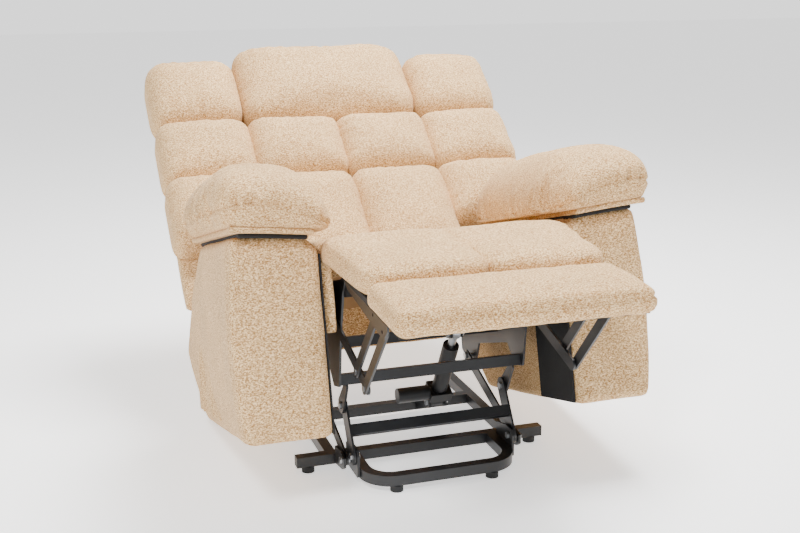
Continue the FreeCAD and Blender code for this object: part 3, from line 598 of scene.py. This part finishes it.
def pad_seam(place):
    """Height of the seam round the pad: arched in the middle, lower on the inner side."""
    across = inside(place.x, PAD_LOW.x, PAD_HIGH.x)
    return 0.474 + 0.014 * across + 0.022 * (1 - across * across)


def droop(place, normal):
    """The pad and its board sag a little towards the sitter."""
    share = max(0.0, (0.472 - place.x) / 0.172)
    return Vector((0, 0, -15 * MM * share ** 1.3))


def arm_pad(name):
    """The right arm's pad, in the body's frame: rounded, stuffed, gathered, then let sag."""
    piece = block(name, PAD_LOW, PAD_HIGH)
    soft_mesh(piece, 8 * MM, 4.5 * MM)
    middle = (PAD_LOW + PAD_HIGH) / 2

    def loaf(place, normal):
        across = inside(place.x, PAD_LOW.x, PAD_HIGH.x)
        along = inside(place.y, PAD_LOW.y, PAD_HIGH.y)
        seam = pad_seam(place)
        rise = (place.z - seam) / (PAD_HIGH.z - seam)
        share = pillow(across, along, rise, 6, 2.4)
        band = max(0.0, seam - place.z)
        height = place.z if rise <= 0 else seam + rise * share * (PAD_HIGH.z - seam)
        return Vector((middle.x + (place.x - middle.x) * share * (1 - band * 3.6),
                       middle.y + (place.y - middle.y) * share * (1 - band * 1.6), height)) - place

    def gather(place, normal):
        flat = 1 - abs(normal.z)
        seam = pad_seam(place)
        above = place.z - seam
        run = noise.noise((place.x / 0.09, place.y / 0.09, 4.7))
        wave = noise.noise((place.x / GATHER_PITCH, place.y / GATHER_PITCH, place.z / 0.3))
        reach = math.exp(-abs(above) / GATHER_REACH) * max(0.0, 0.45 + run)
        folds = GATHER_DEPTH * reach * (0.5 - abs(wave) * 3)
        stitches = 9 * MM * math.exp(-(above / (5 * MM)) ** 2)
        tucks = sum(math.exp(-((place.y - at - above * 0.25) / (11 * MM)) ** 2) for at in TUCKS)
        tuck = 17 * MM * tucks * flat * math.exp(-max(0.0, above) / (50 * MM))
        lumps = noise.noise(place * 8) * 6 * MM
        resting = 1 - max(0.0, -normal.z)
        return normal * resting * (folds * (0.25 + 0.75 * flat) - stitches * flat - tuck + lumps)

    sculpt(piece, loaf)
    stuff(piece, lambda place: place.z < 0.49, pressure=2.5, cap=6 * MM)
    sculpt(piece, gather)
    return sculpt(piece, droop)


right_pad = arm_pad("arm_pillow_right")
left_pad = mirrored(right_pad, "arm_pillow_left")
for piece, node in ((right_pad, "arm_pad_right"), (left_pad, "arm_pad_left")):
    settle(piece, BODY, "chair", cover)
    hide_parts(node)

# %% [markdown]
# Under each pad a thin board is wrapped in the same cloth, over a black strip that is painted
# shadow: it stands for the dark shadow line above the arm. Both follow the pad's sag.

# %% arm boards and painted shadow strips
def sagging(name, low, high, material, node):
    """A thin board under each pad, bent as the pad is."""
    right = block(name + "_right", low, high)
    modify(right, "BEVEL", width=3 * MM, segments=2, limit_method="ANGLE")
    modify(right, "REMESH", mode="VOXEL", voxel_size=3 * MM, use_smooth_shade=True)
    sculpt(right, droop)
    both = join(name, [right, mirrored(right, name + "_left")])
    settle(both, BODY, "chair", material)
    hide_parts(node)
    return both


boards = sagging("arm_board_covers", (0.298, -0.042, 0.443), (0.474, 0.518, 0.456), cover,
                 "arm_boards")
# the black strips under the boards are painted shadow: they stand for the dark line above each arm
sagging("arm_painted_shadow_strips", (0.306, -0.012, 0.434), (0.453, 0.512, 0.4445),
        FINISHES["black_cloth"], "arm_strips")

# %% [markdown]
# The seat is a foam slab with a thin fibre wrap and one seam down its middle.

# %% seat
SEAT_HALF, SEAT_DEPTH, SEAT_THICK, SEAT_SETBACK = 272 * MM, 440 * MM, 80 * MM, 80 * MM


def halves(names, half, front, back, top, bottom, swell, **shape):
    """Two pockets that meet at the middle seam, facing -Y with their length along Z."""
    return [pocket(name, (left, top, front), (right, bottom, back), swell, **shape)
            for name, left, right in zip(names, (-half, -LAP), (LAP, half))]


seat = join("seat_pad", halves(("seat_left", "seat_right"), SEAT_HALF, SEAT_SETBACK, SEAT_DEPTH, 0,
                               SEAT_THICK, 10 * MM, section=5, voxel=7 * MM, waist=44 * MM))
# the slab was made facing -Y: turn its face up and its length along the seat
lay_down = Matrix(((1, 0, 0, 0), (0, 0, 1, 0), (0, -1, 0, 0.414), (0, 0, 0, 1)))
settle(seat, BODY @ lay_down, "chair", cover)
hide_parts("seat_cushion")

# %% [markdown]
# The chaise pad runs from the seat over the hinge to the footrest, in one piece of cloth.

# %% chaise pad
PAD_BACK, PAD_FRONT, PAD_HALF = 78 * MM, -250 * MM, 258 * MM
PAD_TOP, PAD_BOTTOM = 30 * MM, -24 * MM
PAD_WIDENING = 0.075
BEND_HALF = 45 * MM


def bend_over_hinge(place):
    """Carry a point of the flat pad to the body frame: seat end level, front end sloping."""
    share = max(0.0, min(1.0, (BEND_HALF - place.y) / (2 * BEND_HALF)))
    angle = FOOTREST_SLOPE * share * share * (3 - 2 * share)
    widen = 1 + PAD_WIDENING * max(0.0, min(1.0, (place.y - PAD_FRONT) / -PAD_FRONT))
    turned = Matrix.Rotation(angle, 3, "X") @ Vector((place.x * widen, place.y, place.z))
    return turned + FOOTREST_HINGE_IN_BODY


chaise = join("chaise_pad", halves(("pad_left", "pad_right"), PAD_HALF, PAD_FRONT, PAD_BACK,
                                   -PAD_TOP, -PAD_BOTTOM, 8 * MM, section=6, waist=14 * MM))
chaise.data.transform(Matrix(((1, 0, 0, 0), (0, 0, 1, 0), (0, -1, 0, 0), (0, 0, 0, 1))))
for vertex in chaise.data.vertices:
    vertex.co = bend_over_hinge(vertex.co)
settle(chaise, BODY, None, cover)
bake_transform(chaise)
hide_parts("seat_nose", "footrest_pad")

# %% [markdown]
# The footrest ends in a thick roll with a boxed front. Its seam with the pad is a straight dark
# line across the whole width.

# %% footrest roll
ROLL_LOW, ROLL_HIGH = Vector((-260, -442, -38)) * MM, Vector((260, -249, 14)) * MM
ROLL_SEAM = -2 * MM

roll = block("footrest_front_roll", ROLL_LOW, ROLL_HIGH)
soft_mesh(roll, 17 * MM, 6 * MM)


def roll_rule(place, normal):
    """A crowned top, a seam all round and a boxed band under it."""
    along = inside(place.y, ROLL_LOW.y, ROLL_HIGH.y)
    across = inside(place.x, ROLL_LOW.x, ROLL_HIGH.x)
    flat = 1 - abs(normal.z)
    crown = 11 * MM * max(0.0, normal.z) * (1 - abs(along) ** 2.2) * (1 - abs(across) ** 8)
    lip = 4.5 * MM * math.exp(-((place.z - ROLL_SEAM) / (4 * MM)) ** 2) * flat
    band = 3 * MM * flat * max(0.0, min(1.0, (ROLL_SEAM - place.z) / (8 * MM)))
    ripple = noise.noise((place.x / (26 * MM), place.y / (60 * MM), 3.1)) * 1.6 * MM
    return normal * (crown - lip + band + ripple)


sculpt(roll, roll_rule)
settle(roll, FOOTREST, "footrest", cover)
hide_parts("footrest_roll")

# %% [markdown]
# A gathered pocket on the left arm: elastic along its mouth draws the cloth into upright folds.

# %% side pocket
BAG_LOW, BAG_HIGH = Vector((-477, 287, 28)) * MM, Vector((-466, 598, 300)) * MM
HEM, HEM_STITCH = 288 * MM, 271 * MM

bag = block("side_pocket_cover", BAG_LOW, BAG_HIGH)
modify(bag, "REMESH", mode="VOXEL", voxel_size=4 * MM, use_smooth_shade=True)


def gathers(place, normal):
    """Folds that hang from the hem, a slack belly, and a mouth that slopes to the front."""
    along = inside(place.y, BAG_LOW.y, BAG_HIGH.y)
    upwards = (place.z - BAG_LOW.z) / (BAG_HIGH.z - BAG_LOW.z)
    slump = Vector((0, 0, upwards * (0.022 * along + 0.006 * math.cos(along * 3))))
    folds = 9 * MM * noise.noise((place.y / (15 * MM), 0, place.z / 0.22))
    folds *= math.sin(math.pi * min(1, upwards + 0.25))
    hem = 4 * MM * math.exp(-((place.z - HEM) / (7 * MM)) ** 2)
    stitch = 3 * MM * math.exp(-((place.z - HEM_STITCH) / (4 * MM)) ** 2)
    belly = 5 * MM * (1 - along ** 4) * math.sin(math.pi * min(1.0, max(0.0, upwards)))
    return slump + Vector((-(belly + folds + hem - stitch) * (1 - abs(along) ** 8), 0, 0))


sculpt(bag, gathers)
settle(bag, BODY, "chair", cover_box)
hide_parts("side_pocket")

# %% [markdown]
# Two flaps close the gap between the arms and the linkage, and a panel closes the rear. They are
# cloth over thin foam, tacked along their edges, so each face is slightly crowned.

# %% flaps and rear panel
FLAP = ((249 * MM, 35 * MM, 219 * MM), (275 * MM, 60 * MM, 378 * MM))
REAR = ((-280 * MM, 745 * MM, 130 * MM), (280 * MM, 757 * MM, 380 * MM))


def tacked_panel(name, low, high, crown):
    """A thin padded panel, held at its edges and crowned between them."""
    piece = block(name, low, high)
    soft_mesh(piece, 3 * MM, 3.5 * MM)

    def swell(place, normal):
        share = 1.0
        for axis in range(3):
            if abs(normal[axis]) < 0.5:
                share *= 1 - abs(inside(place[axis], low[axis], high[axis])) ** 4
        return normal * share * (crown + noise.noise(place * 20) * crown * 0.6)

    return sculpt(piece, swell)


flap = tacked_panel("seat_flap_covers", *FLAP, 1.5 * MM)
flaps = join("seat_flap_covers", [flap, mirrored(flap, "seat_flap_left")])
rear = tacked_panel("rear_panel_cover", *REAR, 3 * MM)
for piece, node in ((flaps, "seat_front_flaps"), (rear, "rear_panel")):
    settle(piece, BODY, "chair", cover_box)
    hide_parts(node)
